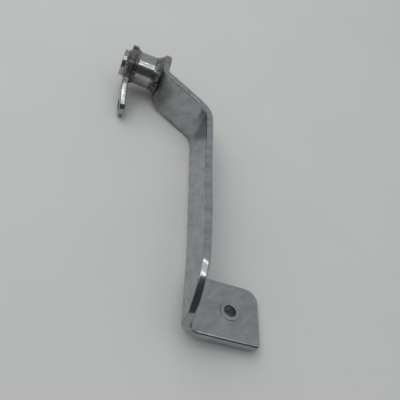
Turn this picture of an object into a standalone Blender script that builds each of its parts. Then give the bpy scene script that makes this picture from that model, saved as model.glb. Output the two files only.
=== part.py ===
# Rear brake pedal: a chrome-plated weldment of a bent and folded plate arm, a turned pivot tube and a rod lever.
# Design frame: X runs along the pivot tube towards the pad's side, -Y runs forward along the arm, Z is up as the
# pedal lies on a bench with its foot face down. All lengths are in metres, all angles in degrees.
import math

import bmesh
import bpy
from mathutils import Matrix, Vector

# Gap between welded or seated neighbours
seat_gap = 0.0003

# Pivot tube, measured along X from the lever's outer face
barrel_radius = 0.0123
barrel_length = 0.0208
spigot_radius = 0.0099
stub_length = 0.0046
bore_radius = 0.0072
tube_chamfer = 0.0006

# Arm plate: a round head, two bends, a long run on edge and a folded pad
arm_thickness = 0.0050
head_radius = 0.0169
strip_top_at_hub = 0.0153
strip_top_at_pad = 0.0143
strip_bottom = 0.0164
bottom_at_hub = 0.0148
bottom_taper_end = 0.0380
arm_length = 0.2185
hub_leg = 0.0149
outward_leg = 0.0440
run_leg = 0.1005
outward_angle = 53.4
run_angle = 3.4
end_angle = 1.3
outward_bend_radius = 0.0080
return_bend_radius = 0.0220
kink_radius = 0.0600
strip_lean = 2.4
strip_lean_length = 0.0670
plate_edge_round = 0.0013

# Foot pad, folded from the arm's lower edge
pad_length = 0.0380
pad_width = 0.0487
pad_drop = 0.0070
fold_inner_radius = 0.0060
fold_run_in = 0.0180
web_end_radius = 0.0300
pad_far_corner_radius = 0.0085
pad_near_corner_radius = 0.0024
pad_notch = 0.0035
pad_hole_radius = 0.0037
pad_hole_from_outer_edge = 0.0186
countersink_radius = 0.0056
countersink_depth = 0.0007

# Rod lever: a ring head round the stub and a narrower arm with a round tip
lever_thickness = 0.0045
lever_head_radius = 0.0150
lever_reach = 0.0350
lever_tip_radius = 0.0075
lever_waist = 0.0086
lever_fillet_radius = 0.0080
lever_slope = 29.0
lever_bend_radius = 0.0800
lever_bend_start = 0.0120
lever_bend_length = 0.0155
rod_hole_radius = 0.0041
lever_edge_round = 0.0011

# Weld beads: how far each runs along the tube and up the plate
arm_weld_along = 0.0052
arm_weld_up = 0.0034
lever_weld_along = 0.0026
lever_weld_up = 0.0020
stub_weld_along = 0.0014
stub_weld_up = 0.0016
weld_lip = 0.0004

# Facets and tolerances
arc_step = 6.0
tube_steps = 72
weld_steps = 48
weld_arc_steps = 5
edge_segments = 3
lever_bend_slices = 5
run_in_slices = 6
lean_slices = 8
fold_slices = 12
bench_passes = 12
sharp_angle = 45.0
cutter_length = 0.0180
merge_distance = 0.00001
slice_tolerance = 0.0000001

# Places along X
lever_inner_face = lever_thickness
arm_inner_face = lever_inner_face + barrel_length
arm_middle = arm_inner_face + arm_thickness / 2
arm_outer_face = arm_inner_face + arm_thickness

# The last leg takes what the first three leave of the arm's length, all measured to where the legs' lines meet
end_leg = arm_length - hub_leg - outward_leg - run_leg


def clear_scene():
    for item in list(bpy.data.objects):
        bpy.data.objects.remove(item, do_unlink=True)


def new_collection(name):
    collection = bpy.data.collections.new(name)
    bpy.context.scene.collection.children.link(collection)
    return collection


def steel(name, colour, roughness):
    material = bpy.data.materials.new(name)
    material.use_nodes = True
    shader = material.node_tree.nodes["Principled BSDF"]
    shader.inputs["Base Color"].default_value = (*colour, 1.0)
    shader.inputs["Metallic"].default_value = 1.0
    shader.inputs["Roughness"].default_value = roughness
    return material


def arc(centre, radius, start, end):
    # Points on an arc from one angle to another, both ends included
    steps = max(2, math.ceil(abs(end - start) / arc_step))
    points = []
    for step in range(steps + 1):
        angle = math.radians(start + (end - start) * step / steps)
        points.append((centre[0] + radius * math.cos(angle), centre[1] + radius * math.sin(angle)))
    return points


def flat_blank(outline):
    # One flat face in the XY plane with the outline's points as its rim
    blank = bmesh.new()
    blank.faces.new([blank.verts.new((x, y, 0.0)) for x, y in outline])
    return blank


def slice_blank(blank, axis, places, first=-1.0, last=1.0):
    # Cut the faces that lie between two stations along X by lines across the given axis
    normal = Vector((1, 0, 0)) if axis == 0 else Vector((0, 1, 0))
    for place in places:
        faces = [face for face in blank.faces if first < face.calc_center_median().x < last]
        rims = {edge for face in faces for edge in face.edges}
        points = {vert for face in faces for vert in face.verts}
        bmesh.ops.bisect_plane(blank, geom=faces + list(rims) + list(points),
                               dist=slice_tolerance, plane_co=normal * place, plane_no=normal)


def blank_object(name, blank, shape, thickness, edge_round, material, collection):
    # Form the blank's points, then give it its thickness and its rounded rims
    for vert in blank.verts:
        vert.co = shape(vert.co.x, vert.co.y)
    bmesh.ops.recalc_face_normals(blank, faces=blank.faces)
    mesh = bpy.data.meshes.new(name)
    blank.to_mesh(mesh)
    blank.free()
    mesh.materials.append(material)
    plate = bpy.data.objects.new(name, mesh)
    collection.objects.link(plate)
    skin = plate.modifiers.new("Thickness", "SOLIDIFY")
    skin.thickness = thickness
    skin.offset = 0.0
    skin.use_even_offset = True
    rims = plate.modifiers.new("Rounded edges", "BEVEL")
    rims.width = edge_round
    rims.segments = edge_segments
    rims.limit_method = "ANGLE"
    rims.angle_limit = math.radians(sharp_angle)
    rims.use_clamp_overlap = False
    return plate


def turned_object(name, profile, steps, material, collection):
    # Turn a closed profile of (radius, place along the tube) points; it runs down its outer side first
    mesh = bpy.data.meshes.new(name)
    count = len(profile)
    edges = [(index, (index + 1) % count) for index in range(count)]
    mesh.from_pydata([(radius, 0.0, place) for radius, place in profile], edges, [])
    mesh.materials.append(material)
    turned = bpy.data.objects.new(name, mesh)
    collection.objects.link(turned)
    turned.rotation_euler = (0.0, math.radians(90), 0.0)
    screw = turned.modifiers.new("Turn", "SCREW")
    screw.steps = steps
    screw.render_steps = steps
    screw.use_merge_vertices = True
    screw.merge_threshold = merge_distance
    screw.use_smooth_shade = True
    return turned


def cutter(name, radius, depth, matrix, collection):
    # A cylinder centred on its matrix and along its Z, kept as a wire guide
    mesh = bpy.data.meshes.new(name)
    shape = bmesh.new()
    bmesh.ops.create_cone(shape, cap_ends=True, segments=tube_steps, radius1=radius, radius2=radius, depth=depth)
    shape.to_mesh(mesh)
    shape.free()
    tool = bpy.data.objects.new(name, mesh)
    tool.matrix_world = matrix
    tool.hide_render = True
    tool.display_type = "WIRE"
    collection.objects.link(tool)
    return tool


def cut(target, tool):
    boolean = target.modifiers.new(tool.name, "BOOLEAN")
    boolean.operation = "DIFFERENCE"
    boolean.solver = "EXACT"
    boolean.object = tool


def arm_segments():
    # The arm's centre line as (length, turn in degrees) pieces, with each bend's tangents taken off its legs
    turns = (outward_angle, run_angle - outward_angle, end_angle - run_angle)
    radii = (outward_bend_radius, return_bend_radius, kink_radius)
    legs = (hub_leg, outward_leg, run_leg, end_leg)
    tangents = [radius * math.tan(math.radians(abs(turn)) / 2) for radius, turn in zip(radii, turns)]
    segments = []
    for index, leg in enumerate(legs):
        before = tangents[index - 1] if index else 0.0
        after = tangents[index] if index < len(tangents) else 0.0
        segments.append((leg - before - after, 0.0))
        if index < len(turns):
            segments.append((radii[index] * math.radians(abs(turns[index])), turns[index]))
    return segments


def arm_point(segments, station):
    # Place and heading on the centre line at a distance from the tube's axis; heading 0 is forward, -Y
    place = Vector((arm_middle, 0.0))
    heading = 0.0
    left = station
    for length, turn in segments:
        used = min(left, length)
        if turn and used > 0.0:
            part = math.radians(turn) * used / length
            chord = 2 * (length / abs(math.radians(turn))) * math.sin(abs(part) / 2)
            middle = heading + part / 2
            place += chord * Vector((math.sin(middle), -math.cos(middle)))
            heading += part
        else:
            place += used * Vector((math.sin(heading), -math.cos(heading)))
        left -= used
        if left <= 0.0:
            break
    return place, heading


def bend(beyond, length, radius):
    # How far along and how far aside a plate's point goes in a bend of the given length, straight after it
    turned = min(beyond, length) / radius
    after = max(0.0, beyond - length)
    along = radius * math.sin(turned) + after * math.cos(turned)
    aside = radius * (1 - math.cos(turned)) + after * math.sin(turned)
    return along, aside


def smooth_step(value):
    value = min(1.0, max(0.0, value))
    return value * value * (3 - 2 * value)


def make_arm(parts, cutters):
    segments = arm_segments()
    near_edge = sum(length for length, turn in segments)
    far_edge = near_edge - pad_length
    fold_radius = fold_inner_radius + arm_thickness / 2
    fold_height = fold_radius + arm_thickness / 2 - strip_bottom - pad_drop
    fold_span = fold_radius * math.pi / 2
    pad_flat = pad_width - arm_thickness / 2 - fold_radius
    pad_edge = fold_height - fold_span - pad_flat
    run_in_start = far_edge - pad_notch - fold_run_in

    # The flat blank, head at the left, anticlockwise from the notch under the arm
    web_corner = (near_edge - web_end_radius, strip_top_at_pad - web_end_radius)
    web_angle = math.degrees(math.asin((fold_height - web_corner[1]) / web_end_radius))
    top_angle = math.degrees(math.asin(strip_top_at_hub / head_radius))
    bottom_angle = 360 - math.degrees(math.asin(bottom_at_hub / head_radius))
    outline = [(bottom_taper_end, -strip_bottom)]
    outline += [(far_edge - pad_notch, -strip_bottom), (far_edge, -strip_bottom - pad_notch)]
    outline += arc((far_edge + pad_far_corner_radius, pad_edge + pad_far_corner_radius),
                   pad_far_corner_radius, 180, 270)
    outline += arc((near_edge - pad_near_corner_radius, pad_edge + pad_near_corner_radius),
                   pad_near_corner_radius, -90, 0)
    outline += arc(web_corner, web_end_radius, web_angle, 90)
    outline += arc((0.0, 0.0), head_radius, top_angle, bottom_angle)
    blank = flat_blank(outline)

    # Lines across the arm where it bends, where it leans and where the fold grows in
    stations = []
    start = 0.0
    for length, turn in segments:
        if turn:
            slices = math.ceil(abs(turn) / arc_step)
            stations += [start + length * index / slices for index in range(slices + 1)]
        start += length
    lean_start = sum(length for length, turn in segments[:3])
    lean_top = lean_start + segments[3][0]
    stations += [lean_top + strip_lean_length * index / lean_slices for index in range(1, lean_slices + 1)]
    stations += [run_in_start + fold_run_in * index / run_in_slices for index in range(run_in_slices + 1)]
    slice_blank(blank, 0, stations)

    # Lines along the fold, with none in the band that the strip's lower rim is rounded in
    folds = [fold_height - fold_span * index / fold_slices for index in range(fold_slices + 1)]
    folds = [line for line in folds if not 0.0 <= line + strip_bottom < plate_edge_round]
    slice_blank(blank, 1, folds, first=run_in_start)

    def shape(station, height):
        # The strip leans outward after its second bend, about its lower edge, and stands upright again further on
        place, heading = arm_point(segments, station)
        leaning = smooth_step((station - lean_start) / (lean_top - lean_start))
        leaning *= 1 - smooth_step((station - lean_top) / strip_lean_length)
        lean = math.tan(math.radians(strip_lean)) * leaning * (height + strip_bottom)
        place += lean * Vector((math.cos(heading), math.sin(heading)))
        below = max(0.0, fold_height - height)
        grown = smooth_step((station - run_in_start) / fold_run_in)
        if below == 0.0 or grown == 0.0:
            return Vector((place.x, place.y, height))
        down, aside = bend(below, fold_span, fold_radius / grown)
        right = Vector((math.cos(heading), math.sin(heading)))
        spot = place + aside * right
        return Vector((spot.x, spot.y, fold_height - down))

    arm = blank_object("pedal_arm", blank, shape, arm_thickness, plate_edge_round,
                       steel("arm_chrome", (0.42, 0.44, 0.45), 0.24), parts)

    # The seat for the tube's spigot, and the pad's hole with its shallow countersink
    seat = Matrix.Translation((arm_middle, 0.0, 0.0)) @ Matrix.Rotation(math.radians(90), 4, "Y")
    cut(arm, cutter("arm_seat_cutter", spigot_radius + seat_gap, cutter_length, seat, cutters))
    place, heading = arm_point(segments, near_edge - pad_length / 2)
    right = Vector((math.cos(heading), math.sin(heading)))
    hole = place + (pad_width - arm_thickness / 2 - pad_hole_from_outer_edge) * right
    pad_top = arm_thickness - strip_bottom - pad_drop
    through = Matrix.Translation((hole.x, hole.y, pad_top))
    cut(arm, cutter("pad_hole_cutter", pad_hole_radius, cutter_length, through, cutters))
    cut(arm, cutter("countersink_cutter", countersink_radius, 2 * countersink_depth, through, cutters))
    return arm


def make_tube(parts):
    # Barrel between the plates, a spigot through the arm and a longer stub through the lever
    right_shoulder = arm_inner_face - seat_gap
    left_shoulder = lever_inner_face + seat_gap
    profile = [
        (spigot_radius - tube_chamfer, arm_outer_face),
        (spigot_radius, arm_outer_face - tube_chamfer),
        (spigot_radius, right_shoulder),
        (barrel_radius, right_shoulder),
        (barrel_radius, left_shoulder),
        (spigot_radius, left_shoulder),
        (spigot_radius, tube_chamfer - stub_length),
        (spigot_radius - tube_chamfer, -stub_length),
        (bore_radius + tube_chamfer, -stub_length),
        (bore_radius, tube_chamfer - stub_length),
        (bore_radius, arm_outer_face - tube_chamfer),
        (bore_radius + tube_chamfer, arm_outer_face),
    ]
    return turned_object("pivot_tube", profile, tube_steps, steel("tube_chrome", (0.60, 0.62, 0.63), 0.12), parts)


def lever_outline():
    # Ring and tip circles joined by straight sides that run into the ring through concave fillets
    taper = math.asin((lever_waist - lever_tip_radius) / lever_reach)
    side = Vector((math.sin(taper), math.cos(taper)))
    far = lever_head_radius + lever_fillet_radius
    lift = lever_waist + lever_fillet_radius
    along = math.sqrt(far * far - lift * lift)
    fillet = along * Vector((side.y, -side.x)) + lift * side
    ring_angle = math.degrees(math.atan2(fillet.y, fillet.x))
    side_angle = math.degrees(math.atan2(side.y, side.x))
    outline = arc((lever_reach, 0.0), lever_tip_radius, -side_angle, side_angle)
    outline += arc(fillet, lever_fillet_radius, side_angle - 180, ring_angle - 180)
    outline += arc((0.0, 0.0), lever_head_radius, ring_angle, 360 - ring_angle)[1:-1]
    outline += arc((fillet.x, -fillet.y), lever_fillet_radius, 180 - ring_angle, 180 - side_angle)
    return outline


def make_lever(parts, cutters):
    blank = flat_blank(lever_outline())
    stations = [lever_bend_start + lever_bend_length * index / lever_bend_slices
                for index in range(lever_bend_slices + 1)]
    slice_blank(blank, 0, stations)
    slope = math.radians(-lever_slope)

    def shape(distance, across):
        # The lever bends gently towards the arm's side and is flat again round the rod's hole
        along, aside = distance, 0.0
        if distance > lever_bend_start:
            along, aside = bend(distance - lever_bend_start, lever_bend_length, lever_bend_radius)
            along += lever_bend_start
        forward = along * math.cos(slope) - across * math.sin(slope)
        height = along * math.sin(slope) + across * math.cos(slope)
        return Vector((lever_thickness / 2 + aside, -forward, height))

    lever = blank_object("rod_lever", blank, shape, lever_thickness, lever_edge_round,
                         steel("lever_chrome", (0.45, 0.47, 0.47), 0.22), parts)
    seat = Matrix.Translation((lever_thickness / 2, 0.0, 0.0)) @ Matrix.Rotation(math.radians(90), 4, "Y")
    cut(lever, cutter("lever_seat_cutter", spigot_radius + seat_gap, cutter_length, seat, cutters))
    tilt = lever_bend_length / lever_bend_radius
    centre = shape(lever_reach, 0.0)
    axis = Vector((math.cos(tilt), math.sin(tilt) * math.cos(slope), -math.sin(tilt) * math.sin(slope)))
    rod = Matrix.Translation(centre) @ Vector((0, 0, 1)).rotation_difference(axis).to_matrix().to_4x4()
    cut(lever, cutter("rod_hole_cutter", rod_hole_radius, cutter_length, rod, cutters))
    return lever


def weld_ring(name, radius, face, direction, along, up, material, parts):
    # A bead with a hollow face between the tube and a plate; direction is +1 where it runs towards +X
    foot = radius + seat_gap
    back = face + direction * seat_gap
    hollow = []
    for step in range(weld_arc_steps + 1):
        angle = math.pi / 2 * step / weld_arc_steps
        place = along - (along - weld_lip) * math.sin(angle)
        height = up - (up - weld_lip) * math.cos(angle)
        hollow.append((foot + height, back + direction * place))
    profile = [(foot, back + direction * along)] + hollow + [(foot + up, back), (foot, back)]
    if direction < 0:
        profile.reverse()
    return turned_object(name, profile, weld_steps, material, parts)


def solid_points(item):
    # The finished surface's points, bevels and holes included
    solid = item.evaluated_get(bpy.context.evaluated_depsgraph_get())
    return [item.matrix_world @ vert.co for vert in solid.data.vertices]


def bench_normal(feet):
    # The normal of the plane on which three groups of points all stand
    normal = Vector((0, 0, 1))
    for _ in range(bench_passes):
        lowest = [min(points, key=normal.dot) for points in feet]
        normal = (lowest[1] - lowest[0]).cross(lowest[2] - lowest[0]).normalized()
        if normal.z < 0:
            normal.negate()
    return normal


def lay_on_bench(parts, cutters, arm, lever):
    # The pedal lies on its lever tip, the hub end of the arm and the pad; the origin is below its middle
    bpy.context.view_layer.update()
    arm_points = solid_points(arm)
    half_way = min(point.y for point in arm_points) / 2
    hub_end = [point for point in arm_points if point.y > half_way]
    pad_end = [point for point in arm_points if point.y <= half_way]
    normal = bench_normal((solid_points(lever), hub_end, pad_end))
    turn = normal.rotation_difference(Vector((0, 0, 1))).to_matrix().to_4x4()
    laid = [turn @ point for item in parts.objects for point in solid_points(item)]
    low = Vector([min(point[axis] for point in laid) for axis in range(3)])
    high = Vector([max(point[axis] for point in laid) for axis in range(3)])
    middle = (low + high) / 2
    bench = bpy.data.objects.new("bench_pose", None)
    bpy.context.scene.collection.objects.link(bench)
    bench.matrix_world = Matrix.Translation((-middle.x, -middle.y, -low.z)) @ turn
    for item in list(parts.objects) + list(cutters.objects):
        item.parent = bench
    bpy.context.view_layer.update()


def main():
    clear_scene()
    parts = new_collection("rear_brake_pedal")
    cutters = new_collection("cutters")
    arm = make_arm(parts, cutters)
    make_tube(parts)
    lever = make_lever(parts, cutters)
    weld = steel("weld_chrome", (0.50, 0.52, 0.52), 0.26)
    weld_ring("arm_weld", barrel_radius, arm_inner_face, -1, arm_weld_along, arm_weld_up, weld, parts)
    weld_ring("lever_weld", barrel_radius, lever_inner_face, 1, lever_weld_along, lever_weld_up, weld, parts)
    weld_ring("stub_weld", spigot_radius, 0.0, -1, stub_weld_along, stub_weld_up, weld, parts)
    lay_on_bench(parts, cutters, arm, lever)


main()
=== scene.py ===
import math
import bmesh
import bpy
import numpy as np
from mathutils import Matrix, Vector


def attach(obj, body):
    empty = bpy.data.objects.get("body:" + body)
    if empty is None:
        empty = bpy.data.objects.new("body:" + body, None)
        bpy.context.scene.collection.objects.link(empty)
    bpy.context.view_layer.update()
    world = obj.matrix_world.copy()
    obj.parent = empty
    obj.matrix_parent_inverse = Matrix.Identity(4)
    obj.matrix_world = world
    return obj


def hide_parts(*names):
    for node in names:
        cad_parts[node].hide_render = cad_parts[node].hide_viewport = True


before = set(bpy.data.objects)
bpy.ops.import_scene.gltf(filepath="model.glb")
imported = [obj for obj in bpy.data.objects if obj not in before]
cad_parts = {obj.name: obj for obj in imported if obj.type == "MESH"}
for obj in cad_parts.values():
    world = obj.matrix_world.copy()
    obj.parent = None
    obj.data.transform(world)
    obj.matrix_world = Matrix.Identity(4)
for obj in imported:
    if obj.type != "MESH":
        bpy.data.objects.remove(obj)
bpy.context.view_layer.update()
root = "root"
print("frame loaded:", sorted(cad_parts))

# Where the pedal's own axes lie on the bench: X along the pivot tube, -Y forward, Z up
benchTurn = np.array([[0.987169, -0.009547, 0.159392],
                      [-0.009547, 0.992897, 0.118596],
                      [-0.159392, -0.118596, 0.980066]])
benchShift = np.array([-0.053890, 0.092774, 0.021305])


def toBench(points):
    # From the pedal's own axes to the bench's, for an array of points
    return points @ benchTurn.T + benchShift


def fromBench(points):
    # And back again
    return (points - benchShift) @ benchTurn


def linear(hexColour):
    # An sRGB hex value as linear RGBA
    parts = np.array([int(hexColour[i:i + 2], 16) / 255 for i in (1, 3, 5)])
    low = parts / 12.92
    high = ((parts + 0.055) / 1.055) ** 2.4
    return (*np.where(parts <= 0.04045, low, high), 1.0)


def addObject(name, data):
    thing = bpy.data.objects.new(name, data)
    bpy.context.scene.collection.objects.link(thing)
    return thing


def newMaterial(name, colour, metallic, roughness):
    material = bpy.data.materials.new(name)
    material.use_nodes = True
    shader = material.node_tree.nodes["Principled BSDF"]
    shader.inputs["Base Color"].default_value = linear(colour)
    shader.inputs["Metallic"].default_value = metallic
    shader.inputs["Roughness"].default_value = roughness
    return material, material.node_tree, shader


def addNode(tree, kind, settings=None, inputs=None, links=None):
    # A node with its settings, its socket values and its links, each link as socket: (node, output)
    node = tree.nodes.new(kind)
    for key, value in (settings or {}).items():
        setattr(node, key, value)
    for key, value in (inputs or {}).items():
        node.inputs[key].default_value = value
    for key, (source, output) in (links or {}).items():
        tree.links.new(source.outputs[output], node.inputs[key])
    return node


def mixColours(tree, factor, colour, other):
    # A colour mix whose first colour may be another node's output. It gives back the mix and the number of
    # its colour output
    mix = addNode(tree, "ShaderNodeMix", {"data_type": "RGBA"}, None, {0: factor})
    first, second = [socket for socket in mix.inputs if socket.type == "RGBA"]
    if isinstance(colour, str):
        first.default_value = linear(colour)
    else:
        tree.links.new(colour[0].outputs[colour[1]], first)
    second.default_value = linear(other)
    return mix, [number for number, socket in enumerate(mix.outputs) if socket.type == "RGBA"][0]


# From which noise value to which each fault fades in. Two are in metres instead: cutEdge is the distance from the
# middle of the plate's thickness, and pastWeb is the height at which the web gives way to the pad
faults = {
    "noiseRoughness": 0.55,
    "clouds": (0.32, 0.70),
    "strokes": (0.38, 0.68),
    "blotches": (0.40, 0.66),
    "grime": (0.28, 0.60),
    "pitSpan": 0.10,
    "cutEdge": (0.0012, 0.0022),
    "pastWeb": (0.0165, 0.0185),
}


def chrome(name, look):
    # Chrome mirrors the room, so the eye reads its surface from the faults in the mirror: slow waves left by
    # grinding, strokes and clouds left by polishing, fine grain, and olive tarnish where the plate is thin
    material, tree, shader = newMaterial(name, look["colour"], 1.0, look["roughness"][0])
    place = addNode(tree, "ShaderNodeTexCoord")
    turn = Matrix(benchTurn.T.tolist()).to_euler()
    shift = Matrix(benchTurn.T.tolist()) @ Vector((-benchShift).tolist())
    own = addNode(tree, "ShaderNodeMapping", None, {"Location": shift, "Rotation": turn},
                  {"Vector": (place, "Object")})
    surface = (own, "Vector")
    if look["flow"]:
        surface = (addNode(tree, "ShaderNodeUVMap", {"uv_map": "flow"}), "UV")

    patterns = {}
    for key, (length, width, degrees, detail) in look["patterns"].items():
        size = (length / 1000, width / 1000, width / 1000)   # from millimetres, along and across the strokes
        spread = addNode(tree, "ShaderNodeMapping", {"vector_type": "TEXTURE"},
                         {"Scale": size, "Rotation": (0.0, 0.0, math.radians(degrees))}, {"Vector": surface})
        patterns[key] = addNode(tree, "ShaderNodeTexNoise", None,
                                {"Scale": 1.0, "Detail": detail, "Roughness": faults["noiseRoughness"]},
                                {"Vector": (spread, "Vector")})

    def ramp(source, start, end, low=0.0, high=1.0):
        return (addNode(tree, "ShaderNodeMapRange", {"clamp": True, "interpolation_type": "SMOOTHSTEP"},
                        {"From Min": start, "From Max": end, "To Min": low, "To Max": high},
                        {"Value": source}), "Result")

    def combine(operation, first, second):
        node = addNode(tree, "ShaderNodeMath", {"operation": operation, "use_clamp": True})
        for number, value in enumerate((first, second)):
            if isinstance(value, tuple):
                tree.links.new(value[0].outputs[value[1]], node.inputs[number])
            else:
                node.inputs[number].default_value = value
        return node, "Value"

    # How hazy, tarnished and pitted each point is, each from 0 to 1
    clouds = ramp((patterns["clouds"], "Fac"), *faults["clouds"])
    strokes = ramp((patterns["strokes"], "Fac"), *faults["strokes"])
    haze = combine("ADD", combine("MULTIPLY", clouds, look["cloudShare"]),
                   combine("MULTIPLY", strokes, look["strokeShare"]))
    if look["flow"]:
        across = addNode(tree, "ShaderNodeUVMap", {"uv_map": "rim"})
        depth = addNode(tree, "ShaderNodeVectorMath", {"operation": "LENGTH"}, None, {0: (across, "UV")})
        shine = ramp((depth, "Value"), *faults["cutEdge"], look["rimShine"], 1.0)
        haze = combine("MULTIPLY", haze, shine)
    axes = addNode(tree, "ShaderNodeSeparateXYZ", None, None, {"Vector": (own, "Vector")})
    flat = addNode(tree, "ShaderNodeCombineXYZ", None, None, {"Y": (axes, "Y"), "Z": (axes, "Z")})
    away = addNode(tree, "ShaderNodeVectorMath", {"operation": "LENGTH"}, None, {0: (flat, "Vector")})
    nearHub = ramp((away, "Value"), look["grimeFrom"], look["grimeTo"], look["grimeShare"], 0.0)
    edges = addNode(tree, "ShaderNodeSeparateXYZ", None, None, {"Vector": surface})
    height = (addNode(tree, "ShaderNodeMath", {"operation": "ABSOLUTE"}, None, {0: (edges, "Y")}), "Value")
    nearEdge = combine("MULTIPLY", ramp(height, look["edgeFrom"], look["edgeTo"], 0.0, look["edgeShare"]),
                       ramp(height, *faults["pastWeb"], 1.0, 0.0))
    blotch = ramp((patterns["blotches"], "Fac"), *faults["blotches"])
    grime = combine("MULTIPLY", nearHub, ramp((patterns["blotches"], "Fac"), *faults["grime"]))
    tarnish = combine("MAXIMUM", grime, combine("MULTIPLY", nearEdge, blotch))
    tarnish = combine("MAXIMUM", tarnish, combine("MULTIPLY", blotch, look["tarnishShare"]))
    pits = ramp((patterns["pits"], "Fac"), look["pitFrom"], look["pitFrom"] + faults["pitSpan"])
    pits = combine("MULTIPLY", pits, blotch)

    # Colour: clean chrome, greyer in the haze, olive in the tarnish, brown in the pits
    dulled = mixColours(tree, haze, look["colour"], look["hazeColour"])
    stained = mixColours(tree, tarnish, dulled, look["tarnishColour"])
    pitted = mixColours(tree, pits, stained, look["pitColour"])
    tree.links.new(pitted[0].outputs[pitted[1]], shader.inputs["Base Color"])

    # Roughness: lowest on clean chrome, and more in the haze, the tarnish and the pits
    clean, hazy, dirty = look["roughness"]
    rough = ramp(haze, 0.0, 1.0, clean, hazy)
    if look["flow"]:
        rough = combine("MULTIPLY", rough, shine)
    rough = combine("ADD", rough, combine("MULTIPLY", combine("MAXIMUM", tarnish, pits), dirty))
    tree.links.new(rough[0].outputs[rough[1]], shader.inputs["Roughness"])

    # Relief in true depths: up to three hundredths of a millimetre in the waves, some microns in the rest
    normal = None
    for key, depth in look["depths"].items():
        source = pits if key == "pits" else (patterns[key], "Fac")
        links = {"Height": source} if normal is None else {"Height": source, "Normal": normal}
        bump = addNode(tree, "ShaderNodeBump", {"invert": key == "pits"},
                       {"Strength": 1.0, "Distance": depth / 1000}, links)
        normal = (bump, "Normal")
    tree.links.new(normal[0].outputs[normal[1]], shader.inputs["Normal"])
    return material


# Each pattern is (length mm, width mm, turn in degrees, detail), depths are in millimetres, and roughness is for
# clean chrome, for haze and what dirt adds. The share of each fault is 0 where a piece has none. Real polishing
# lines and grain are ten times finer than these, which are as fine as the render shows
plateLook = {
    "flow": True,
    "colour": "#B0B2B5",        # thin worn chrome over ground steel
    "hazeColour": "#9A9C9D",
    "tarnishColour": "#77786A",
    "pitColour": "#4E4C42",
    "patterns": {"waves": (16.0, 13.0, 0.0, 1.0), "clouds": (15.0, 6.0, 45.0, 5.0),
                 "strokes": (9.0, 1.2, 45.0, 4.0), "blotches": (5.0, 3.0, 20.0, 4.0),
                 "grain": (1.3, 0.8, 0.0, 2.0), "pits": (0.8, 0.8, 0.0, 1.0)},
    "depths": {"waves": 0.03, "strokes": 0.003, "grain": 0.011, "pits": 0.008},
    "cloudShare": 0.75,
    "strokeShare": 0.40,
    "grimeFrom": 0.014,
    "grimeTo": 0.028,
    "grimeShare": 0.75,
    "edgeFrom": 0.0105,
    "edgeTo": 0.0165,
    "edgeShare": 0.55,
    "tarnishShare": 0.10,
    "rimShine": 0.62,           # the cut edges were buffed brighter than the faces
    "pitFrom": 0.69,
    "roughness": (0.18, 0.27, 0.28),
}
tubeLook = {
    "flow": False,
    "colour": "#BFC1C2",        # turned and buffed before plating, so the mirror is clear
    "hazeColour": "#AFB1B0",
    "tarnishColour": "#8A8C80",
    "pitColour": "#66655A",
    "patterns": {"waves": (7.0, 6.0, 0.0, 1.0), "clouds": (8.0, 5.0, 0.0, 4.0),
                 "strokes": (2.0, 0.5, 90.0, 3.0), "blotches": (2.4, 1.6, 10.0, 4.0),
                 "grain": (1.0, 0.7, 0.0, 2.0), "pits": (0.7, 0.7, 0.0, 1.0)},
    "depths": {"waves": 0.010, "strokes": 0.001, "grain": 0.001, "pits": 0.004},
    "cloudShare": 0.7,
    "strokeShare": 0.3,
    "grimeFrom": 0.020,
    "grimeTo": 0.030,
    "grimeShare": 0.45,
    "edgeFrom": 0.5,
    "edgeTo": 0.6,
    "edgeShare": 0.0,
    "tarnishShare": 0.28,
    "pitFrom": 0.66,
    "roughness": (0.05, 0.13, 0.34),
}
weldLook = {
    "flow": False,
    "colour": "#AAACAD",        # plated over an unground weld, so it sparkles in lumps
    "hazeColour": "#8A8B88",
    "tarnishColour": "#63645A",
    "pitColour": "#3F3E36",
    "patterns": {"waves": (2.2, 1.8, 0.0, 1.0), "clouds": (3.0, 2.4, 0.0, 4.0),
                 "strokes": (1.5, 1.0, 0.0, 3.0), "blotches": (2.6, 2.0, 0.0, 4.0),
                 "grain": (0.6, 0.5, 0.0, 2.0), "pits": (0.6, 0.6, 0.0, 1.0)},
    "depths": {"waves": 0.025, "strokes": 0.002, "grain": 0.004, "pits": 0.01},
    "cloudShare": 0.7,
    "strokeShare": 0.3,
    "grimeFrom": 0.030,
    "grimeTo": 0.040,
    "grimeShare": 0.85,
    "edgeFrom": 0.5,
    "edgeTo": 0.6,
    "edgeShare": 0.0,
    "tarnishShare": 0.0,
    "pitFrom": 0.66,
    "roughness": (0.12, 0.29, 0.18),
}
leverLook = dict(plateLook, grimeFrom=0.017, grimeTo=0.026, grimeShare=1.0, tarnishColour="#5C5D50",
                 roughness=(0.18, 0.27, 0.45))   # grease has stained its neck
plateChrome = chrome("chromePlatedGroundSteel", plateLook)
leverChrome = chrome("chromePlatedStainedLever", leverLook)
tubeChrome = chrome("chromePlatedTurnedSteel", tubeLook)
weldChrome = chrome("chromePlatedWeld", weldLook)
print("materials made")


def gridFaces(rows, columns):
    # Quads between neighbours of a rows by columns grid that is closed both ways
    row = np.arange(rows)[:, None]
    column = np.arange(columns)[None, :]
    nextRow = (row + 1) % rows
    nextColumn = (column + 1) % columns
    corners = [row * columns + column, row * columns + nextColumn,
               nextRow * columns + nextColumn, nextRow * columns + column]
    return np.stack([np.broadcast_to(c, (row.size, column.size)).ravel() for c in corners], axis=1)


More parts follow.
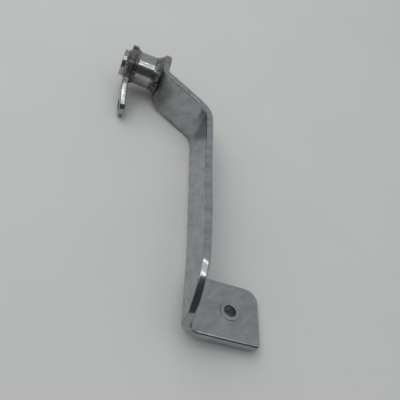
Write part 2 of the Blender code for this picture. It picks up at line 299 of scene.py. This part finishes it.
def addPiece(name, points, faces, material, nodes):
    # A closed mesh in the bench's axes whose faces point outwards, riding on the root
    a, b, c = (points[faces[:, k]] for k in (0, 1, 2))
    volume = np.einsum("ij,ij->i", a, np.cross(b, c)).sum()
    if faces.shape[1] == 4:
        d = points[faces[:, 3]]
        volume += np.einsum("ij,ij->i", a, np.cross(c, d)).sum()
    if volume < 0:
        faces = faces[:, ::-1]
    mesh = bpy.data.meshes.new(name)
    mesh.from_pydata(points.tolist(), [], faces.tolist())
    mesh.polygons.foreach_set("use_smooth", np.ones(len(mesh.polygons), bool))
    mesh.materials.append(material)
    mesh.update()
    piece = addObject(name, mesh)
    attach(piece, root)
    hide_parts(*nodes)
    return piece


def roundedLoop(corners, radii, steps, spacing):
    # A closed outline whose corners are quadratic curves and whose straights are cut closer towards their ends
    corners = np.array(corners, float)
    radii = np.array(radii, float)[:, None]
    before = np.roll(corners, 1, axis=0) - corners
    after = np.roll(corners, -1, axis=0) - corners
    start = corners + radii * before / np.linalg.norm(before, axis=1, keepdims=True)
    end = corners + radii * after / np.linalg.norm(after, axis=1, keepdims=True)
    t = np.linspace(0, 1, steps + 1)[None, :, None]
    curve = (1 - t) ** 2 * start[:, None] + 2 * t * (1 - t) * corners[:, None] + t ** 2 * end[:, None]
    share = (1 - np.cos(np.pi * np.arange(1, spacing) / spacing)) / 2
    share = share[None, :, None]
    straight = end[:, None] * (1 - share) + np.roll(start, -1, axis=0)[:, None] * share
    return np.concatenate([curve, straight], axis=1).reshape(-1, 2)


def turned(name, profile, count, material, nodes):
    # A closed (place, radius) outline turned round the pivot axis: X = place, Y = r cos a, Z = r sin a
    angle = np.linspace(0, 2 * np.pi, count, endpoint=False)[:, None]
    place, radius = profile[None, :, 0], profile[None, :, 1]
    points = np.stack(np.broadcast_arrays(place, radius * np.cos(angle), radius * np.sin(angle)), axis=-1)
    faces = gridFaces(count, len(profile))
    return addPiece(name, toBench(points.reshape(-1, 3)), faces, material, nodes)


tube = {
    "barrelRadius": 0.0123,
    "barrelFrom": 0.0048,
    "barrelTo": 0.0250,
    "spigotRadius": 0.0099,
    "stubEnd": -0.0046,
    "armEnd": 0.0303,
    "boreRadius": 0.0072,
    "edgeRound": 0.0007,
    "shoulderRound": 0.0005,
    "cornerSteps": 5,
    "straightSteps": 9,
    "count": 160,
}
edge, shoulder = tube["edgeRound"], tube["shoulderRound"]
tubeProfile = roundedLoop(
    [(tube["armEnd"], tube["spigotRadius"]), (tube["barrelTo"], tube["spigotRadius"]),
     (tube["barrelTo"], tube["barrelRadius"]), (tube["barrelFrom"], tube["barrelRadius"]),
     (tube["barrelFrom"], tube["spigotRadius"]), (tube["stubEnd"], tube["spigotRadius"]),
     (tube["stubEnd"], tube["boreRadius"]), (tube["armEnd"], tube["boreRadius"])],
    [edge, shoulder, edge, edge, shoulder, edge, edge, edge], tube["cornerSteps"], tube["straightSteps"])
turned("pivotTube", tubeProfile, tube["count"], tubeChrome, ["pivot_tube"])
print("pivot tube turned")


def slowNoise(angle, seed, lowest, highest):
    # A sum of cosines round the ring with seeded phases, so it joins up where it starts
    draw = np.random.default_rng(seed)
    waves = np.arange(lowest, highest + 1)
    phase = draw.uniform(0, 2 * np.pi, waves.size)
    size = draw.uniform(0.5, 1.0, waves.size) / np.sqrt(waves.size)
    return (size * np.cos(angle[..., None] * waves + phase)).sum(axis=-1)


# What all the beads share. The waves are (lowest, highest) counts round the ring, and the shares say how much
# each set moves the lumps, the fullness, the reach along the tube and the rise up the plate
weld = {
    "slowWaves": (2, 7),
    "quickWaves": (5, 18),
    "lumpWander": 1.2,
    "fullWander": 0.04,
    "reachShare": 0.035,
    "riseShare": 0.02,
    "lumpShare": 0.14,
    "meanLump": 0.64,
    "sunk": 0.0002,
}


def weldBead(name, bead, node):
    # Round the ring by angle and across the bead from the tube's toe to the plate's: the face lies between a
    # hollow quarter curve and a full one, and how full it is rises and falls with each lump of the weld
    angle = np.linspace(0, 2 * np.pi, bead["count"], endpoint=False)[:, None]
    across = np.linspace(0, 1, bead["steps"])[None, :]
    turn = across * np.pi / 2
    wander = slowNoise(angle, bead["seed"], *weld["slowWaves"])
    phase = bead["lumps"] * angle + weld["lumpWander"] * wander + bead["skew"] * (2 * across - 1) ** 2
    lump = np.abs(np.cos(phase / 2))
    full = bead["full"] + weld["lumpShare"] * (lump - weld["meanLump"]) + weld["fullWander"] * wander
    reach = bead["along"] * (1 + weld["reachShare"] * slowNoise(angle, bead["seed"] + 2, *weld["quickWaves"]))
    rise = bead["up"] * (1 + weld["riseShare"] * slowNoise(angle, bead["seed"] + 3, *weld["quickWaves"]))
    along = reach * ((1 - full) * (1 - np.sin(turn)) + full * np.cos(turn))
    up = rise * ((1 - full) * (1 - np.cos(turn)) + full * np.sin(turn))
    buried = -weld["sunk"] * np.ones_like(angle)
    place = np.concatenate([along[:, :1], along, buried, buried], axis=1)
    height = np.concatenate([buried, up, up[:, -1:], buried], axis=1)
    x = bead["face"] + bead["direction"] * place
    radius = bead["radius"] + height
    points = np.stack([x, radius * np.cos(angle), radius * np.sin(angle)], axis=-1)
    faces = gridFaces(bead["count"], place.shape[1])
    return addPiece(name, toBench(points.reshape(-1, 3)), faces, weldChrome, [node])


armBead = {
    "face": 0.0253, "direction": -1, "radius": tube["barrelRadius"], "along": 0.0058, "up": 0.0038,
    "full": 0.20, "lumps": 17, "skew": 1.2, "seed": 11, "count": 400, "steps": 22,
}
leverBead = {
    "face": 0.0045, "direction": 1, "radius": tube["barrelRadius"], "along": 0.0030, "up": 0.0020,
    "full": 0.26, "lumps": 18, "skew": 1.0, "seed": 23, "count": 400, "steps": 14,
}
stubBead = {
    "face": 0.0, "direction": -1, "radius": tube["spigotRadius"], "along": 0.0017, "up": 0.0020,
    "full": 0.30, "lumps": 15, "skew": 0.9, "seed": 37, "count": 360, "steps": 12,
}
weldBead("armWeld", armBead, "arm_weld")
weldBead("leverWeld", leverBead, "lever_weld")
weldBead("stubWeld", stubBead, "stub_weld")
print("weld beads laid")


arm = {
    "middle": 0.0278,
    "legs": (0.0149, 0.0440, 0.1005, 0.0591),
    "turns": (53.4, -50.0, -2.1),
    "bendRadii": (0.0080, 0.0220, 0.0600),
    "step": 0.0005,
}


def centreLine():
    # Stations, places and headings along the arm's centre line: straight legs and round bends in turn
    turns = np.radians(arm["turns"])
    radii = np.array(arm["bendRadii"])
    tangents = radii * np.tan(np.abs(turns) / 2)
    straights = np.array(arm["legs"]) - np.append(tangents, 0) - np.insert(tangents, 0, 0)
    ends = np.cumsum(np.insert(np.column_stack([straights[:3], radii * np.abs(turns)]).ravel(), 0, 0))
    ends = np.append(ends, ends[-1] + straights[3])
    headings = np.repeat(np.insert(np.cumsum(turns), 0, 0), 2)
    station = np.arange(0, ends[-1], arm["step"])
    heading = np.interp(station, ends, headings)
    x = arm["middle"] + np.cumsum(np.sin(heading)) * arm["step"]
    y = -np.cumsum(np.cos(heading)) * arm["step"]
    return station, np.column_stack([x, y]), heading


def mapFlow(piece, flow):
    # Two UV maps in metres, each face corner taking its vertex's values: how far along and across the plate it
    # is, and how far it is from the middle of the plate's thickness
    vertexOfLoop = np.empty(len(piece.data.loops), int)
    piece.data.loops.foreach_get("vertex_index", vertexOfLoop)
    for name, columns in (("flow", flow[:, :2]), ("rim", flow[:, 2:] * (1, 0))):
        layer = piece.data.uv_layers.new(name=name)
        layer.data.foreach_set("uv", columns[vertexOfLoop].ravel())


plates = {"joinDigits": 7, "sharpAngle": 55.0, "evenWeight": 80}


def plateCopy(name, node, flow, material, reshape=None):
    # The plate's own solid with its loose triangles joined, smooth but for its cut edges. Its flow map is
    # how far along the plate and how far across it each point is, so that polishing lines follow the bends
    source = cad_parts[node].data
    loose = np.empty(len(source.vertices) * 3)
    source.vertices.foreach_get("co", loose)
    corners = np.empty(len(source.loops), int)
    source.loops.foreach_get("vertex_index", corners)
    points, index = np.unique(np.round(loose.reshape(-1, 3), plates["joinDigits"]), axis=0, return_inverse=True)
    faces = index.ravel()[corners].reshape(-1, 3)
    whole = (faces[:, 0] != faces[:, 1]) & (faces[:, 1] != faces[:, 2]) & (faces[:, 2] != faces[:, 0])
    faces = faces[whole]
    if reshape:
        points, faces = reshape(fromBench(points), faces)
        points = toBench(points)
    piece = addPiece(name, points, faces, material, [node])
    piece.data.set_sharp_from_angle(angle=math.radians(plates["sharpAngle"]))
    mapFlow(piece, flow(fromBench(points)))
    even = piece.modifiers.new("evenShading", "WEIGHTED_NORMAL")
    even.keep_sharp = True
    even.weight = plates["evenWeight"]


def armFlow(points):
    # How far along the centre line each point is, how high (on the pad, less how far it lies aside, as if the
    # pad were unfolded), and how far aside of the line
    station, line, heading = centreLine()
    gaps = np.linalg.norm(points[:, None, :2] - line[None], axis=2)
    nearest = gaps.argmin(axis=1)
    right = np.column_stack([np.cos(heading), np.sin(heading)])[nearest]
    aside = ((points[:, :2] - line[nearest]) * right).sum(axis=1)
    return np.column_stack([station[nearest], points[:, 2] - np.maximum(aside, 0), aside])


# The web's free end starts to curve down a little before the solid's quarter curve does
webEnd = {
    "radius": 0.030,
    "top": 0.0143,
    "early": 0.006,
    "late": 0.0393,
    "inward": 0.0017,
    "depth": 0.012,
    "cuts": (1.2, 1.0, 0.8, 0.6, 0.4, 0.2),
}


def softerEnd(points, faces):
    # The rim goes inwards by inward sin^2(pi t), with t from 0 to 1 along the rim from a little before the curve
    # to where it is nearly upright, and less so deeper in the plate; extra cuts give the straight part its bend
    end = centreLine()[2][-1]
    forward = np.array([math.sin(end), -math.cos(end), 0.0])
    start = (points @ forward).max() - webEnd["radius"]
    plate = bmesh.new()
    corners = [plate.verts.new(point) for point in points]
    for face in faces:
        plate.faces.new([corners[index] for index in face])
    for share in webEnd["cuts"]:
        place = Vector(forward) * (start - share * webEnd["early"])
        bmesh.ops.bisect_plane(plate, geom=plate.verts[:] + plate.edges[:] + plate.faces[:], dist=1e-6,
                               plane_co=place, plane_no=Vector(forward))
    bmesh.ops.triangulate(plate, faces=plate.faces[:])
    plate.verts.index_update()
    moved = np.array([vertex.co[:] for vertex in plate.verts])
    faces = np.array([[vertex.index for vertex in face.verts] for face in plate.faces])
    plate.free()
    ahead = moved @ forward - start
    above = moved[:, 2] - (webEnd["top"] - webEnd["radius"])
    onCurve = np.maximum(ahead, 0)
    reach = np.hypot(onCurve, above)
    run = np.where(ahead > 0, np.arctan2(onCurve, above) * webEnd["radius"], ahead)
    t = np.clip((run + webEnd["early"]) / (webEnd["late"] + webEnd["early"]), 0, 1)
    near = np.clip(1 - (webEnd["radius"] - reach) / webEnd["depth"], 0, 1)
    gap = np.where(above > 0, webEnd["inward"] * np.sin(np.pi * t) ** 2 * near, 0)
    inward = -(onCurve[:, None] * forward + above[:, None] * (0.0, 0.0, 1.0)) / np.maximum(reach, 1e-6)[:, None]
    return moved + gap[:, None] * inward, faces


# The lever has no stained edge like the arm's, so its map is lifted clear of the heights that have one
lever = {"middle": 0.00225, "lift": 0.5}


def leverFlow(points):
    return np.column_stack([-points[:, 1], points[:, 2] + lever["lift"], points[:, 0] - lever["middle"]])


plateCopy("armPlate", "pedal_arm", armFlow, plateChrome, softerEnd)
plateCopy("leverPlate", "rod_lever", leverFlow, leverChrome)
print("plates made")


# The pad's hole has a low pressed rim that stands above the plate and fills the hole's shallow seat
padRim = {
    "place": (0.09759, -0.18092),
    "face": -0.01840,
    "holeRadius": 0.00368,
    "outerRadius": 0.0062,
    "rise": 0.00045,
    "sunk": 0.0014,
    "rounds": (0.0002, 0.00035, 0.0004, 0.0002),
    "steps": 5,
    "count": 96,
}


def rimRound(rim):
    # A closed (radius, height) outline turned round the pad hole's axis: X = x + r cos a, Y = y + r sin a and
    # Z = height
    top, sunk = rim["face"] + rim["rise"], rim["face"] - rim["sunk"]
    profile = roundedLoop([(rim["holeRadius"], sunk), (rim["holeRadius"], top), (rim["outerRadius"], top),
                           (rim["outerRadius"], sunk)], rim["rounds"], rim["steps"], rim["steps"])
    angle = np.linspace(0, 2 * np.pi, rim["count"], endpoint=False)[:, None]
    x, y = (rim["place"][axis] + profile[None, :, 0] * wave(angle) for axis, wave in enumerate((np.cos, np.sin)))
    points = np.stack(np.broadcast_arrays(x, y, profile[None, :, 1]), axis=-1).reshape(-1, 3)
    faces = gridFaces(rim["count"], len(profile))
    return points, faces


rimPoints, rimFaces = rimRound(padRim)
rimPiece = addPiece("padRim", toBench(rimPoints), rimFaces, plateChrome, [])
mapFlow(rimPiece, armFlow(rimPoints))
print("pad rim made")


studio = {
    "floorColour": "#BCBCBB",
    "floorShade": "#B6B6B4",
    "floorRoughness": 0.85,
    "floorTone": 60.0,          # millimetres
    "floorHalf": 4.0,
    "worldColour": "#B5B7BB",
    "stripLength": 1.5,
    "stripHeight": 1.12,
    "strips": ((0.07, 0.055, 1.0), (-0.355, 0.085, 1.5), (-0.135, 0.34, 0.72)),   # place, width and power
    "softPlace": (-0.42, 0.55, 0.95),
    "softSize": 1.2,
    "softPower": 7.5,
    "cardColour": "#606264",
    "cardRoughness": 0.9,
    "cardFoot": (-0.65, 0.0),
    "cardTop": (-0.229, 0.58),
    "cardWidth": 2.4,
}


def flatSheet(name, corners, material):
    mesh = bpy.data.meshes.new(name)
    mesh.from_pydata(corners, [], [(0, 1, 2, 3)])
    mesh.materials.append(material)
    return addObject(name, mesh)


def paperFloor():
    # Matt white paper under a studio light, with the faintest unevenness of tone
    material, tree, shader = newMaterial("mattPaper", studio["floorColour"], 0.0, studio["floorRoughness"])
    place = addNode(tree, "ShaderNodeTexCoord")
    tone = addNode(tree, "ShaderNodeTexNoise", None, {"Scale": 1000 / studio["floorTone"], "Detail": 4.0},
                   {"Vector": (place, "Object")})
    mix = mixColours(tree, (tone, "Fac"), studio["floorColour"], studio["floorShade"])
    tree.links.new(mix[0].outputs[mix[1]], shader.inputs["Base Color"])
    half = studio["floorHalf"]
    floor = flatSheet("floor", [(-half, -half, 0), (half, -half, 0), (half, half, 0), (-half, half, 0)], material)


def darkCard():
    # A grey card leans over the camera, and the lamps shine through it: the metal mirrors it as a dark band
    material = newMaterial("greyCard", studio["cardColour"], 0.0, studio["cardRoughness"])[0]
    half = studio["cardWidth"] / 2
    card = flatSheet("darkCard", [(-half, *studio["cardFoot"]), (half, *studio["cardFoot"]),
                                  (half, *studio["cardTop"]), (-half, *studio["cardTop"])], material)
    card.visible_camera = False
    card.visible_shadow = False
    card.visible_diffuse = False


def studioLight():
    # Strip lamps along X hang over the pedal for its glints. The soft lamp and the air light the rest, and the
    # metal doesn't mirror the soft lamp
    for index, (y, width, power) in enumerate(studio["strips"]):
        lamp = bpy.data.lights.new(f"strip{index + 1}", "AREA")
        lamp.shape = "RECTANGLE"
        lamp.size, lamp.size_y = studio["stripLength"], width
        lamp.energy = power
        addObject(lamp.name, lamp).location = (0.0, y, studio["stripHeight"])
    lamp = bpy.data.lights.new("softBox", "AREA")
    lamp.size = studio["softSize"]
    lamp.energy = studio["softPower"]
    holder = addObject("softBox", lamp)
    holder.location = studio["softPlace"]
    holder.rotation_euler = Vector(studio["softPlace"]).to_track_quat("Z", "Y").to_euler()
    holder.visible_glossy = False
    world = bpy.data.worlds.new("studioAir")
    world.use_nodes = True
    air = world.node_tree.nodes["Background"]
    air.inputs["Color"].default_value = linear(studio["worldColour"])
    air.inputs["Strength"].default_value = 1.0
    bpy.context.scene.world = world


# The view comes from matching the outline. The focal length, the centre and the picture's width are in pixels
view = {
    "place": (-0.01899, -0.22048, 0.25811),
    "right": (0.971513, 0.096202, 0.216567),
    "down": (0.210505, -0.770055, -0.602252),
    "forward": (0.108826, 0.630683, -0.768369),
    "focal": 491.32,
    "centre": (199.75, 202.32),
    "width": 400,
    "sensor": 36.0,             # millimetres
    "nearest": 0.01,
}


def photoCamera():
    right, down, forward = (Vector(view[side]) for side in ("right", "down", "forward"))
    turn = Matrix((right, -down, -forward)).transposed()
    middle = view["width"] / 2
    lens = bpy.data.cameras.new("photoCamera")
    lens.sensor_width = view["sensor"]
    lens.lens = view["focal"] * view["sensor"] / view["width"]
    lens.shift_x = (middle - view["centre"][0]) / view["width"]
    lens.shift_y = (view["centre"][1] - middle) / view["width"]
    lens.clip_start = view["nearest"]
    camera = addObject("photoCamera", lens)
    camera.matrix_world = Matrix.Translation(view["place"]) @ turn.to_4x4()
    bpy.context.scene.camera = camera


paperFloor()
darkCard()
studioLight()
photoCamera()
bpy.context.scene.view_settings.view_transform = "Standard"
print("floor, light and camera set")
